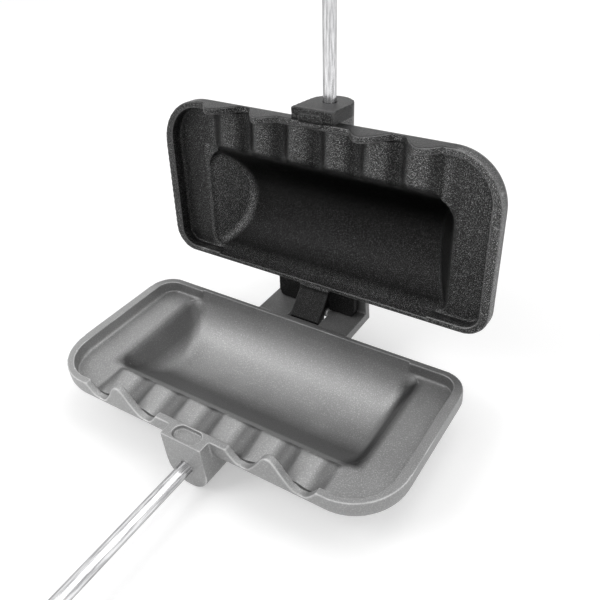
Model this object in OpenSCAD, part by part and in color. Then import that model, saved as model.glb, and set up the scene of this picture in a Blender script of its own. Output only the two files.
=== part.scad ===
// Double pie iron, shown open, standing on the flat under its lower half.
// X runs along the shells, minus Y is the handle side, Z is up from the table.
// The halves are drawn with the parting plane at zero height, then placed.

/* [Shells] */
// Length of each half over its rim
shell_length = 234; // [225:1:240]
// Depth of each half over its rim, front to rear
shell_depth = 108.6; // [106:0.1:111]
// Corner radius on the handle side
front_corner = 32; // [28:0.5:34]
// Corner radius on the hinge side
rear_corner = 15.5; // [13:0.5:18]
// Height of the rim wall outside
rim_height = 11; // [10.5:0.1:12]
// Height of the slanted band at the wall's lower edge
slant_height = 3.6; // [3:0.1:4.5]
// How far the slanted band comes inwards
slant_run = 1.1; // [0.6:0.1:1.4]
// Width of the flat rim at the two ends
side_rim = 6; // [5:0.1:7]
// Thickness of the rim wall on the handle side
front_rim = 4.3; // [4:0.1:5]
// Thickness of the rear rim behind the cavity
rear_rim = 2.8; // [2.5:0.1:3.4]
// Thickness of the rear rim beside the cavity
rear_end_rim = 4.1; // [3.8:0.1:5]
// Distance of the rear rim's step from the middle
rim_step_x = 79.4; // [77:0.1:81]
// Depth of the end lands below the rim
land_depth = 8; // [7:0.1:8.4]
// Corner radius of the land on the handle side
land_front_corner = 25; // [22:0.5:27]
// Corner radius of the land on the hinge side
land_rear_corner = 10; // [8:0.5:12]

/* [Cavity] */
// Radius of the cavity's front half, the rear one reaches up to the rim
cavity_radius = 34; // [32:0.1:34.4]
// Distance of the cavity's middle behind the shell's middle
cavity_middle_y = 13; // [12:0.1:13.4]
// Height of the cavity's centre line over the parting plane
cavity_middle_z = 1.5; // [0.5:0.1:2.5]
// Wall under the cavity
cavity_wall = 3.5; // [3:0.1:3.9]
// Half length of the cavity at the lands
cavity_end_x = 88.5; // [86:0.1:89.5]
// How far each sloped end comes inwards at the bottom
cavity_end_run = 16; // [13:0.1:17]
// How far the cavity's edge at the lands lies in front of its arc, lower half
lower_flare = 7; // [5.5:0.1:8.5]
// How far the cavity's edge at the lands lies in front of its arc, upper half
upper_flare = 2.2; // [1:0.1:4]
// How far the slope above that edge runs back from the rim down to the lands
flare_run = 5.5; // [4:0.1:6.5]
// Corner radius of the cavity on the handle side
cavity_front_corner = 18; // [12:0.5:20]
// Corner radius of the cavity on the hinge side
cavity_rear_corner = 10; // [6:0.5:12]
// Half width of the flat foot under the shell
foot_half_width = 15; // [14:0.1:16]

/* [Crimp] */
// Distance of the first notch of the wavy rim from the middle
wave_start = 24.8; // [24:0.1:25.4]
// Length of one notch in the lower rim
notch_length = 19.9; // [19:0.1:20.4]
// Length of one tooth on the lower rim
tooth_length = 16.2; // [15.6:0.1:17]
// Height of the waves above and below the parting plane
wave_height = 8.5; // [7:0.1:8.8]
// Spacing of the ribs between the rim and the cavity
rib_pitch = 26.3; // [25.5:0.1:26.8]
// Radius of each rounded rib
rib_radius = 14; // [13:0.1:15]
// Depth of the valleys between the ribs below the rim, at the cavity
valley_depth = 6.2; // [5.6:0.1:6.8]
// Depth of the rib tops below the rim at the cavity
rib_top_depth = 1.3; // [1:0.1:2]
// How much lower the ribs end at the wavy rim, lower half
rib_fall = 5; // [3:0.1:5.4]

/* [Rod block] */
// Half width of the block that takes the rod
block_half_width = 14; // [13:0.1:14.5]
// How far the block stands out from the rim
block_out = 7.3; // [6:0.1:8]
// Distance of the rod from the parting plane
rod_drop = 20; // [18.5:0.1:20.5]
// Distance of the block's round underside's centre from the rod
block_sag = 1; // [0:0.1:1.2]
// Distance of the keys from the block's front face
key_set_back = 2.2; // [1.8:0.1:2.6]
// Length of the key on the parting face
key_length = 16.8; // [14:0.1:17]
// Width of the key on the parting face
key_width = 7.6; // [7:0.1:8]
// Height of the key
key_height = 1.8; // [1.5:0.1:2.4]

/* [Hinge] */
// Distance of the turning line behind the rear rim
pivot_out = 15.4; // [15:0.1:15.6]
// Distance of the turning line below the parting plane
pivot_drop = 0.43; // [0.3:0.01:0.6]
// How far the halves open before the flange meets the plate
open_angle = 96.4; // [90:0.1:96.8]
// Radius of the round bar that the hook turns on
bar_radius = 2.6; // [2.4:0.1:2.7]
// Half width of the hinge plate on the lower half
plate_half_width = 34; // [33:0.1:36]
// Depth of the hinge plate's face below the parting plane
plate_drop = 0.9; // [0.8:0.1:1.1]
// Thickness of the hinge plate
plate_thickness = 5.6; // [5:0.1:5.8]
// Distance from the rear rim to the plate's upright
upright_from_rim = 26; // [25.9:0.1:27.5]
// Thickness of the upright
upright_thickness = 4.3; // [4:0.1:5]
// Height of the upright over the parting plane
upright_height = 10; // [7:0.1:11]
// Half width of the hook
hook_half_width = 10.9; // [10.5:0.1:11.5]
// Reach of the hook below the turning line
hook_reach = 11.6; // [10.5:0.1:12]
// How far the hook's foot lies behind the rear rim
hook_root_out = 2.7; // [2.5:0.1:2.9]
// How far the hook's lower edge starts behind the turning line
hook_tip_out = 1.9; // [1.5:0.1:2.2]
// How far the hook's lip ends behind the turning line
hook_lip_out = 5.9; // [5.4:0.1:6.1]
// How far the hook's throat ends behind the turning line
hook_throat_out = 3.3; // [3.1:0.1:3.6]
// Half width of the flange behind the hook
flange_half_width = 29.4; // [28:0.1:31]
// Corner radius of the flange
flange_corner = 7; // [5:0.5:8]
// Thickness of the flange
flange_thickness = 6; // [5.4:0.1:6.1]
// Distance of the flange from the upper parting face
flange_lift = 1.8; // [1.6:0.1:2.2]
// Distance from the rear rim to the hook's window
window_from_rim = 2.3; // [2:0.1:2.4]
// How far the window runs on behind the turning line
window_behind = 4.5; // [4.3:0.1:5]

/* [Handles] */
// Diameter of the rods
rod_diameter = 8; // [7:0.1:8.6]
// Length of rod between the block and the grip's collar
rod_free = 436; // [300:1:520]
// How deep the rod sits in its block
rod_seat = 24; // [20:0.5:26]
// Length of the wooden grip
grip_length = 122; // [105:1:135]
// Diameter of the grip at its collar
grip_neck = 19; // [18:0.1:21]
// Length of the collar
collar_length = 14; // [12:0.5:16]
// Wall of the collar
collar_wall = 0.9; // [0.8:0.1:1.1]
// Diameter of the end nut
nut_diameter = 14; // [13:0.1:16]
// Length of the end nut's barrel
nut_length = 7; // [6:0.1:9]

/* [Clearances] */
// Gap between the two rims when closed
parting_gap = 0.8; // [0.7:0.05:1]
// Gap around the hook in its window
window_gap = 1; // [0.9:0.05:1.2]
// Gap between the hook's bore and the round bar
bar_gap = 0.35; // [0.3:0.05:0.4]
// Gap at the stop when opened
stop_gap = 0.35; // [0.3:0.05:0.4]
// Gap around the key in its pocket
key_gap = 0.8; // [0.4:0.05:0.9]
// Gap behind the teeth of the wavy rim
tooth_gap = 0.6; // [0.5:0.05:0.8]
// Radial gap of the rod in its holes
rod_gap = 0.05; // [0.03:0.01:0.08]

/* [Hidden] */

overrun = 1;
round_fine = 96;
round_small = 48;
wave_steps = 10;
quarter = 90;
half_share = 0.5;
sides = [-1, 1];
flips = [0, 1];
rib_places = [-2.5, -1.5, -0.5, 0.5, 1.5, 2.5];
rib_end = 3;

// Shares that shape the smaller forms
upper_fall_share = 0.4;
rim_over_share = 0.5;
valley_fall_share = 0.65;
rib_root_share = 0.13;
rod_in_nut_share = 0.6;
dome_edge_share = 0.3;
dome_middle_share = 0.5;
dome_radius_share = 0.98;
grip_at_shares = [0.3, 0.5, 0.68, 0.82, 0.92, 0.98, 1];
grip_width_shares = [0.78, 0.8, 0.94, 1, 0.97, 0.84, 0.7];

front_y = -shell_depth * half_share;
rear_y = shell_depth * half_share;
end_x = shell_length * half_share;
foot_depth = cavity_radius + cavity_wall - cavity_middle_z;
inner_front_y = front_y + front_rim;
slot_y = inner_front_y + tooth_gap;
slant_top_z = slant_height - rim_height;
front_middle_x = end_x - front_corner;
front_middle_y = front_y + front_corner;
rear_middle_x = end_x - rear_corner;
rear_middle_y = rear_y - rear_corner;

// Places in depth on the slopes and arcs that join the cavity to the rims
rear_top_y = rear_y - rear_rim;
rear_reach = rear_top_y - cavity_middle_y;
cavity_depth = cavity_radius - cavity_middle_z;
rear_radius = (pow(rear_reach, 2) + pow(cavity_depth, 2)) / (2 * cavity_depth);
rear_end_y = rear_y - rear_end_rim;
arc_front_y = cavity_middle_y - cavity_radius;
lower_land_y = arc_front_y - lower_flare;
upper_land_y = arc_front_y - upper_flare;
flare_reach = flare_run * (1 + rim_over_share);

block_front_y = front_y - block_out;
block_back_y = arc_front_y;
pivot_y = rear_y + pivot_out;
window_front_y = rear_y + window_from_rim;
window_rear_y = pivot_y + window_behind;
window_half_width = hook_half_width + window_gap;
upright_y = rear_y + upright_from_rim;
plate_rear_y = upright_y + upright_thickness;
root_corner = rear_rim * half_share;
root_y = rear_y - root_corner;
rod_end_y = block_front_y + rod_seat;
collar_y = block_front_y - rod_free;
collar_half = collar_length * half_share;
grip_end_y = collar_y - collar_half - grip_length;
upper_fall = rib_fall * upper_fall_share;
rib_root = rim_height * rib_root_share;
rib_floor_z = -land_depth - rib_root;
rib_root_z = (rib_floor_z - rim_height) * half_share;

// Places on the hook's side, as depth and height in the closed pose
hook_root_y = rear_y + hook_root_out;
hook_tip_y = pivot_y + hook_tip_out;
hook_lip_y = pivot_y + hook_lip_out;
hook_low_z = -pivot_drop - hook_reach;
lip_top_z = -plate_drop - plate_thickness - 2 * stop_gap;
throat_y = pivot_y + hook_throat_out;
throat_z = -pivot_drop - bar_radius - 2 * bar_gap;
flange_z = parting_gap + flange_lift;
seat_z = -plate_drop + stop_gap + pivot_drop;

// Radii of the turned pieces on the rods
bore = rod_diameter * half_share + rod_gap;
neck = grip_neck * half_share;
belly = foot_depth - rod_drop;

// Height of the wavy rim at a place along the shell
wave_n1 = wave_start + notch_length;
wave_t1 = wave_n1 + tooth_length;
wave_n2 = wave_t1 + notch_length;
function wave_part(a, from, span, rise) = rise * cos(quarter * (2 * (a - from) / span - 1));
function wave_at(a) = a <= wave_start || a >= wave_n2 ? 0
    : a < wave_n1 ? wave_part(a, wave_start, notch_length, -wave_height)
    : a < wave_t1 ? wave_part(a, wave_n1, tooth_length, wave_height)
    : wave_part(a, wave_t1, notch_length, -wave_height);
function span_places(from, span) = [for (i = [0 : wave_steps]) from + span * i / wave_steps];

// Plan outline with its own corner radii front and rear
module plan_outline(x, front, rear, front_r, rear_r) {
    translate([-x + front_r, front])
        square([2 * (x - front_r), rear - front - rear_r]);
    translate([-x + rear_r, rear - 2 * rear_r])
        square([2 * (x - rear_r), 2 * rear_r]);
    translate([-x, front + front_r])
        square([2 * x, rear - rear_r - front - front_r]);
    for (s = sides) {
        translate([s * (x - front_r), front + front_r])
            circle(r = front_r, $fn = round_fine);
        translate([s * (x - rear_r), rear - rear_r])
            circle(r = rear_r, $fn = round_fine);
    }
}

// Turns an outline drawn in depth and height into a bar along the shell
module along_x(half) {
    translate([-half, 0, 0])
        rotate([quarter, 0, quarter])
            linear_extrude(2 * half)
                children();
}

// Turns an outline drawn in length and height into a wall along the depth
module along_y(from, thick) {
    translate([0, from + thick, 0])
        rotate([quarter, 0, 0])
            linear_extrude(thick)
                children();
}

// Leaves only what lies between the two sloped ends
module between_slopes(top_x, run, low) {
    slope = atan(run / (low - land_depth));
    reach = 4 * low;
    difference() {
        children();
        for (flip = flips)
            mirror([flip, 0, 0])
                translate([top_x, 0, -land_depth])
                    rotate([0, slope, 0])
                        translate([0, -reach, -reach])
                            cube([reach, 2 * reach, 2 * reach]);
    }
}

// Lower band of the rim wall, its sides and corners slanting inwards
module slanted_band() {
    translate([0, 0, -rim_height])
        linear_extrude(slant_height)
            polygon([
                [-front_middle_x, front_middle_y],
                [front_middle_x, front_middle_y],
                [rear_middle_x, rear_middle_y],
                [-rear_middle_x, rear_middle_y]
            ]);
    for (s = sides) {
        translate([s * front_middle_x, front_middle_y, -rim_height])
            cylinder(r1 = front_corner - slant_run, r2 = front_corner, h = slant_height, $fn = round_fine);
        translate([s * rear_middle_x, rear_middle_y, -rim_height])
            cylinder(r1 = rear_corner - slant_run, r2 = rear_corner, h = slant_height, $fn = round_fine);
    }
    along_x(front_middle_x)
        polygon([
            [front_y + slant_run, -rim_height],
            [front_middle_y, -rim_height],
            [front_middle_y, slant_top_z],
            [front_y, slant_top_z]
        ]);
    along_x(rear_middle_x)
        polygon([
            [rear_y - slant_run, -rim_height],
            [rear_middle_y, -rim_height],
            [rear_middle_y, slant_top_z],
            [rear_y, slant_top_z]
        ]);
    along_y(front_middle_y, rear_middle_y - front_middle_y)
        polygon([
            [slant_run - end_x, -rim_height],
            [end_x - slant_run, -rim_height],
            [end_x, slant_top_z],
            [-end_x, slant_top_z]
        ]);
}

// Where a straight slope from a place at the depth of the lands touches the front arc
function slope_end(from_y, radius) =
    let(
        dy = cavity_middle_y - from_y,
        dz = cavity_middle_z + land_depth,
        way = norm([dy, dz]),
        angle = atan(dz / dy) - asin(radius / way),
        run = sqrt(pow(way, 2) - pow(radius, 2))
    )
    [from_y + run * cos(angle), -land_depth + run * sin(angle)];

// Section of the cavity or of its outside: a slope and two arcs that meet at the bottom
module hollow_section(grow, from_y) {
    front_r = cavity_radius + grow;
    rear_r = rear_radius + grow;
    intersection() {
        translate([cavity_middle_y, cavity_middle_z])
            circle(r = front_r, $fn = round_fine);
        translate([cavity_middle_y - front_r, -2 * front_r])
            square([front_r, 2 * front_r + overrun]);
    }
    intersection() {
        translate([cavity_middle_y, rear_radius - cavity_depth])
            circle(r = rear_r, $fn = round_fine);
        translate([cavity_middle_y, -2 * rear_r])
            square([rear_r, 2 * rear_r + overrun]);
    }
    low = slope_end(from_y, front_r);
    polygon([
        [from_y, -land_depth],
        low,
        [cavity_middle_y, low[1]],
        [cavity_middle_y, -land_depth]
    ]);
}

module cavity_section(land_y) {
    hollow_section(0, land_y);
    polygon([
        [land_y - flare_reach, land_depth * rim_over_share],
        [land_y, -land_depth],
        [cavity_middle_y, -land_depth],
        [cavity_middle_y, land_depth * rim_over_share]
    ]);
}

// Room that the cavity may take up, seen in plan
module cavity_room(land_y) {
    rib_x = rib_end * rib_pitch;
    front = land_y - flare_reach;
    plan_outline(cavity_end_x, land_y, rear_end_y, cavity_front_corner, cavity_rear_corner);
    translate([-rib_x, front])
        square([2 * rib_x, cavity_middle_y - front]);
    translate([-rim_step_x, cavity_middle_y])
        square([2 * rim_step_x, rear_top_y - cavity_middle_y]);
}

module cavity_cut(land_y) {
    between_slopes(cavity_end_x, cavity_end_run, foot_depth - cavity_wall)
        intersection() {
            along_x(cavity_end_x + cavity_end_run)
                cavity_section(land_y);
            translate([0, 0, -2 * foot_depth])
                linear_extrude(2 * foot_depth + overrun)
                    cavity_room(land_y);
        }
}

// Outside of the cavity, with its flat foot
module bulge() {
    between_slopes(cavity_end_x + cavity_wall, cavity_end_run, foot_depth)
        intersection() {
            along_x(cavity_end_x + cavity_end_run)
                union() {
                    hollow_section(cavity_wall, lower_land_y - 2 * cavity_wall);
                    translate([cavity_middle_y - foot_half_width, -foot_depth])
                        square([2 * foot_half_width, foot_depth]);
                }
            translate([-shell_length, front_y, -foot_depth])
                cube([2 * shell_length, shell_depth, foot_depth - land_depth * half_share]);
        }
}

// Block under the rim that takes the rod
module rod_block() {
    middle_z = -rod_drop - block_sag;
    translate([-block_half_width, block_front_y, middle_z])
        cube([2 * block_half_width, block_back_y - block_front_y, -middle_z - land_depth]);
    translate([-block_half_width, block_front_y, middle_z])
        cube([2 * block_half_width, front_y - block_front_y + front_rim, -middle_z]);
    translate([0, block_back_y, middle_z])
        rotate([quarter, 0, 0])
            cylinder(r = block_half_width, h = block_back_y - block_front_y, $fn = round_fine);
}

// Lands at the two ends and the room of the ribs; behind the cavity the shell stays whole
module land_recess() {
    difference() {
        translate([0, 0, -land_depth])
            linear_extrude(land_depth + overrun)
                plan_outline(end_x - side_rim, inner_front_y, rear_end_y, land_front_corner, land_rear_corner);
        translate([-rim_step_x, cavity_middle_y, -land_depth - overrun])
            cube([2 * rim_step_x, shell_depth, land_depth + 4 * overrun]);
    }
}

// Room of the ribs between the wavy rim and the cavity, from a floor up
module rib_room(half, floor_z, land_y) {
    translate([-half, slot_y, floor_z])
        cube([2 * half, land_y + overrun - slot_y, overrun - floor_z]);
}

// Rounded ribs between the wavy rim and the cavity, lower by fall at the rim
module ribs(fall, land_y) {
    run = land_y - slot_y;
    tilt = atan(fall / run);
    intersection() {
        for (k = rib_places)
            translate([k * rib_pitch, slot_y, -rib_top_depth - fall - rib_radius / cos(tilt)])
                rotate([quarter + tilt, 0, 0])
                    translate([0, 0, -2 * run])
                        cylinder(r = rib_radius, h = 3 * run, $fn = round_fine);
        rib_room(rib_end * rib_pitch, rib_root_z, land_y);
    }
    along_x(rib_end * rib_pitch)
        polygon([
            [slot_y, rib_root_z],
            [land_y + overrun, rib_root_z],
            [land_y + overrun, -valley_depth],
            [land_y, -valley_depth],
            [slot_y, -valley_depth - fall * valley_fall_share]
        ]);
}

// Area between two heights of the wavy rim, for one notch or tooth
module wave_area(from, span, base) {
    polygon(concat(
        [[from, base]],
        [for (x = span_places(from, span)) [x, wave_at(x)]],
        [[from + span, base]]
    ));
}

module notch_areas() {
    for (flip = flips)
        mirror([flip, 0]) {
            wave_area(wave_start, notch_length, overrun);
            wave_area(wave_t1, notch_length, overrun);
        }
}

module tooth_areas() {
    for (flip = flips)
        mirror([flip, 0])
            wave_area(wave_n1, tooth_length, -overrun);
}

module key(grow, deep) {
    side = key_width * half_share + grow;
    along = (key_length - key_width) * half_share;
    centre = block_front_y + key_set_back + key_width * half_share;
    for (s = sides)
        translate([s * along, centre, 0])
            cylinder(r = side, h = deep, $fn = round_small);
    translate([-along, centre - side, 0])
        cube([2 * along, 2 * side, deep]);
}

module rod_hole() {
    translate([0, rod_end_y + stop_gap, -rod_drop])
        rotate([quarter, 0, 0])
            cylinder(r = bore, h = rod_seat + stop_gap + overrun, $fn = round_small);
}

// Everything that the two halves share
module half_body() {
    translate([0, 0, slant_top_z])
        linear_extrude(-slant_top_z)
            plan_outline(end_x, front_y, rear_y, front_corner, rear_corner);
    slanted_band();
    bulge();
    rod_block();
}

// Round bar across the window, cut off flush beside it
module hinge_bar() {
    half = window_half_width + overrun;
    translate([0, pivot_y, -pivot_drop])
        difference() {
            rotate([0, quarter, 0])
                translate([0, 0, -half])
                    cylinder(r = bar_radius, h = 2 * half, $fn = round_small);
            for (flip = flips)
                mirror([flip, 0, 0])
                    translate([window_half_width, -2 * bar_radius, pivot_drop - plate_drop])
                        cube([2 * overrun, 4 * bar_radius, 4 * bar_radius]);
        }
}

module half_lower() {
    difference() {
        union() {
            difference() {
                union() {
                    half_body();
                    hinge_plate();
                }
                land_recess();
                rib_room(rib_places[len(rib_places) - 1] * rib_pitch, rib_floor_z, lower_land_y);
                along_y(front_y - overrun, front_rim + tooth_gap + overrun)
                    notch_areas();
            }
            ribs(rib_fall, lower_land_y);
            along_y(front_y, front_rim)
                tooth_areas();
        }
        cavity_cut(lower_land_y);
        rod_hole();
        translate([0, 0, -key_height - key_gap])
            key(key_gap, key_height + key_gap + overrun);
        translate([-window_half_width, window_front_y, -plate_drop - plate_thickness - overrun])
            cube([2 * window_half_width, window_rear_y - window_front_y, plate_thickness + plate_drop + 2 * overrun]);
    }
    hinge_bar();
}

module hinge_plate() {
    translate([-plate_half_width, root_y, -plate_drop - plate_thickness])
        cube([2 * plate_half_width, plate_rear_y - root_y, plate_thickness]);
    translate([-plate_half_width, upright_y, -plate_drop - plate_thickness])
        cube([2 * plate_half_width, upright_thickness, plate_thickness + plate_drop + upright_height]);
}

// Upper half in the closed pose, its cavity facing down
module half_upper() {
    translate([0, 0, parting_gap]) {
        difference() {
            union() {
                difference() {
                    mirror([0, 0, 1])
                        half_body();
                    mirror([0, 0, 1]) {
                        land_recess();
                        rib_room(rib_places[len(rib_places) - 1] * rib_pitch, rib_floor_z, upper_land_y);
                    }
                    along_y(front_y - overrun, front_rim + tooth_gap + overrun)
                        tooth_areas();
                }
                mirror([0, 0, 1])
                    ribs(upper_fall, upper_land_y);
                along_y(front_y, front_rim)
                    notch_areas();
            }
            mirror([0, 0, 1])
                cavity_cut(upper_land_y);
            mirror([0, 0, 1])
                rod_hole();
        }
        translate([0, 0, -key_height])
            key(0, key_height + overrun);
    }
    flange();
    hook();
}

module hook_bore() {
    translate([0, pivot_y, -pivot_drop])
        rotate([0, quarter, 0])
            translate([0, 0, -window_half_width - overrun])
                cylinder(r = bar_radius + bar_gap, h = 2 * (window_half_width + overrun), $fn = round_small);
}

module hook() {
    difference() {
        along_x(hook_half_width)
            polygon([
                [root_y, flange_z + overrun],
                [root_y, parting_gap],
                [hook_root_y, 0],
                [hook_tip_y, hook_low_z],
                [hook_lip_y, hook_low_z],
                [hook_lip_y, lip_top_z],
                [throat_y, lip_top_z],
                [throat_y, throat_z],
                [pivot_y, throat_z],
                [pivot_y, flange_z + overrun]
            ]);
        hook_bore();
        hinge_seat_cut();
    }
}

// Takes off what would reach below the seat on the plate in the open pose
module hinge_seat_cut() {
    reach = 4 * pivot_out;
    translate([0, pivot_y, -pivot_drop])
        rotate([open_angle, 0, 0])
            translate([-reach, 0, -reach + seat_z])
                cube([2 * reach, reach, reach]);
}

module flange() {
    difference() {
        translate([0, 0, flange_z])
            linear_extrude(flange_thickness)
                plan_outline(flange_half_width, root_y, pivot_y + overrun, root_corner, flange_corner);
        hook_bore();
        hinge_seat_cut();
    }
}

// Carries pieces of the upper half from the closed pose to the open one
module opened() {
    translate([0, pivot_y, foot_depth - pivot_drop])
        rotate([-open_angle, 0, 0])
            translate([0, -pivot_y, pivot_drop])
                children();
}

module on_table() {
    translate([0, 0, foot_depth])
        children();
}

// Pieces of one handle, along the rod, rod line at zero height
module rod() {
    translate([0, rod_end_y, 0])
        rotate([quarter, 0, 0])
            cylinder(d = rod_diameter, h = rod_end_y - grip_end_y + nut_length * rod_in_nut_share, $fn = round_small);
}

module spun(outline_at) {
    translate([0, outline_at, 0])
        rotate([quarter, 0, 0])
            rotate_extrude($fn = round_fine)
                children();
}

module collar() {
    spun(collar_y)
        difference() {
            polygon([
                [bore, 0],
                [neck - collar_wall, 0],
                [neck + collar_wall, 2 * collar_wall],
                [neck + collar_wall, collar_length],
                [bore, collar_length]
            ]);
            translate([0, collar_half])
                square([neck + rod_gap, collar_half + overrun]);
        }
}

module grip() {
    spun(collar_y - collar_half - stop_gap * half_share)
        polygon(concat(
            [
                [bore, 0],
                [neck, 0],
                [neck, collar_half],
                [neck + collar_wall, collar_half + collar_wall]
            ],
            [for (i = [0 : len(grip_at_shares) - 1]) [belly * grip_width_shares[i], grip_length * grip_at_shares[i]]],
            [[bore, grip_length]]
        ));
}

module end_nut() {
    r = nut_diameter * half_share;
    spun(grip_end_y - stop_gap)
        difference() {
            union() {
                square([r, nut_length - r * dome_edge_share]);
                intersection() {
                    translate([0, nut_length - r * dome_middle_share])
                        circle(r = r * dome_radius_share, $fn = round_small);
                    square([r, 2 * nut_length]);
                }
            }
            translate([-overrun, -overrun])
                square([bore + overrun, nut_length * rod_in_nut_share + stop_gap + overrun]);
        }
}

module at_lower_rod() {
    on_table()
        translate([0, 0, -rod_drop])
            children();
}

module at_upper_rod() {
    opened()
        translate([0, 0, parting_gap + rod_drop])
            children();
}

module lower_shell() {
    color([0.62, 0.62, 0.62])
        on_table()
            half_lower();
}

module upper_shell() {
    color([0.13, 0.13, 0.14])
        opened()
            half_upper();
}

module lower_rod() {
    color([0.85, 0.85, 0.86])
        at_lower_rod()
            rod();
}

module upper_rod() {
    color([0.85, 0.85, 0.86])
        at_upper_rod()
            rod();
}

module lower_collar() {
    color([0.8, 0.8, 0.8])
        at_lower_rod()
            collar();
}

module upper_collar() {
    color([0.8, 0.8, 0.8])
        at_upper_rod()
            collar();
}

module lower_grip() {
    color([0.72, 0.5, 0.3])
        at_lower_rod()
            grip();
}

module upper_grip() {
    color([0.72, 0.5, 0.3])
        at_upper_rod()
            grip();
}

module lower_end_nut() {
    color([0.8, 0.8, 0.8])
        at_lower_rod()
            end_nut();
}

module upper_end_nut() {
    color([0.8, 0.8, 0.8])
        at_upper_rod()
            end_nut();
}

lower_shell();
upper_shell();
lower_rod();
upper_rod();
lower_collar();
upper_collar();
lower_grip();
upper_grip();
lower_end_nut();
upper_end_nut();
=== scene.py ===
import math

import bmesh
import bpy
import numpy as np
from mathutils import Matrix, Vector


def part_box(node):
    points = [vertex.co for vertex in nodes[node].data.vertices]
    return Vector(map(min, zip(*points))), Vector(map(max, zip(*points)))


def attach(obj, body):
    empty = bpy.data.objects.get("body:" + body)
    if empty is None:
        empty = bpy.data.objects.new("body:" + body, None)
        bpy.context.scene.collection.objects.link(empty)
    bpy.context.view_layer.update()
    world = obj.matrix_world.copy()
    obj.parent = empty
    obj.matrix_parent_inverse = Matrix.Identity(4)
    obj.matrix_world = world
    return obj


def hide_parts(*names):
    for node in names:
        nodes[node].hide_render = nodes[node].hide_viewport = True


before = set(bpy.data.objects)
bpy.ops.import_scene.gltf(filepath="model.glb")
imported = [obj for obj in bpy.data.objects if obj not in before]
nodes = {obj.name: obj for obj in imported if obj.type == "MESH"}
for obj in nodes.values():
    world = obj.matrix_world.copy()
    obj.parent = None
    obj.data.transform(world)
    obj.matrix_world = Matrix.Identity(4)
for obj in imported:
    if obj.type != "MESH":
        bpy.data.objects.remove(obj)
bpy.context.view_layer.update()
mm = 0.001
print("frame loaded:", len(nodes), "nodes")

# Where the halves sit, in millimetres and degrees: the lower one's parting plane, the line that the upper one
# turns about, how far it stands open, the gap between the rims when shut, and how far a rod lies from its rim
stand = {"parting": 36.0, "pivotY": 69.7, "pivotZ": 35.57, "open": 96.4, "gap": 0.8, "rod": 20.0}
openTurn = math.radians(stand["open"])

cameraView = {
    "place": (0.20962, -0.21725, 0.30556),
    "azimuth": 34.02, "elevation": 35.53, "roll": -4.24,
    "sensor": 36, "lens": 40.506, "shift": (-0.0531, -0.0226), "near": 0.01, "far": 50,
}
stageLook = {"floorColour": 0.8, "floorLift": 0.34, "roomLight": 0.66, "reach": 6.0}
lamps = [
    {"name": "key", "place": (-1.0, -1.1, 1.5), "aim": (0, 0.02, 0.05), "size": 1.1, "watts": 11.5},
    {"name": "side", "place": (0.95, 0.3, 1.0), "aim": (0, 0, 0.05), "size": 0.6, "watts": 2},
    {"name": "overhead", "place": (0.3, 0.45, 1.7), "aim": (0, 0, 0.05), "size": 1.0, "watts": 4.5},
]


def link(obj):
    bpy.context.scene.collection.objects.link(obj)
    return obj


def makeCamera(view):
    a, e, r = (math.radians(view[key]) for key in ("azimuth", "elevation", "roll"))
    back = Vector((math.sin(a) * math.cos(e), -math.cos(a) * math.cos(e), math.sin(e)))
    side = Vector((math.cos(a), math.sin(a), 0))
    up = back.cross(side)
    right = math.cos(r) * side + math.sin(r) * up
    top = -math.sin(r) * side + math.cos(r) * up
    data = bpy.data.cameras.new("camera")
    data.sensor_width, data.lens = view["sensor"], view["lens"]
    data.shift_x, data.shift_y = view["shift"]
    data.clip_start, data.clip_end = view["near"], view["far"]
    camera = link(bpy.data.objects.new("camera", data))
    turn = Matrix((right, top, back)).transposed().to_4x4()
    camera.matrix_world = Matrix.Translation(view["place"]) @ turn
    bpy.context.scene.camera = camera


def makeLamp(look):
    data = bpy.data.lights.new(look["name"], "AREA")
    data.shape, data.size, data.energy = "DISK", look["size"], look["watts"]
    lamp = link(bpy.data.objects.new(look["name"], data))
    lamp.location = look["place"]
    towards = Vector(look["aim"]) - Vector(look["place"])
    lamp.rotation_euler = towards.to_track_quat("-Z", "Y").to_euler()


def addNode(tree, kind, settings=None, **inputs):
    node = tree.nodes.new(kind)
    for key, value in (settings or {}).items():
        setattr(node, key, value)
    for key, value in inputs.items():
        node.inputs[key.replace("_", " ")].default_value = value
    return node


def clearTree(owner):
    owner.use_nodes = True
    owner.node_tree.nodes.clear()
    return owner.node_tree


# A math node, fed by sockets or by fixed values
def calc(tree, operation, *values):
    node = addNode(tree, "ShaderNodeMath", {"operation": operation})
    for socket, value in zip(node.inputs, values):
        if isinstance(value, bpy.types.NodeSocket):
            tree.links.new(value, socket)
        else:
            socket.default_value = value
    return node.outputs[0]


def product(tree, first, *others):
    for other in others:
        first = calc(tree, "MULTIPLY", first, other)
    return first


# low where the value is at start, high where it is at end, and no further
def rangeOf(tree, value, low, high, start=0.0, end=1.0):
    node = addNode(tree, "ShaderNodeMapRange")
    for key, amount in (("From Min", start), ("From Max", end), ("To Min", low), ("To Max", high)):
        node.inputs[key].default_value = amount
    tree.links.new(value, node.inputs["Value"])
    return node.outputs[0]


# 1 between two places and 0 outside them, with soft ends
def band(tree, value, low, high, soft):
    rise = rangeOf(tree, value, 0, 1, low - soft, low + soft)
    fall = rangeOf(tree, value, 1, 0, high - soft, high + soft)
    return product(tree, rise, fall)


def mixColours(tree, mask, below, above):
    mix = addNode(tree, "ShaderNodeMix", {"data_type": "RGBA"})
    colours = [socket for socket in mix.inputs if socket.type == "RGBA"]
    for socket, value in zip(colours, (below, above)):
        if isinstance(value, bpy.types.NodeSocket):
            tree.links.new(value, socket)
        else:
            socket.default_value = tuple(value) + (1,)
    tree.links.new(mask, mix.inputs[0])
    return next(socket for socket in mix.outputs if socket.type == "RGBA")


def grey(level):
    return (level, level, level)


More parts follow.
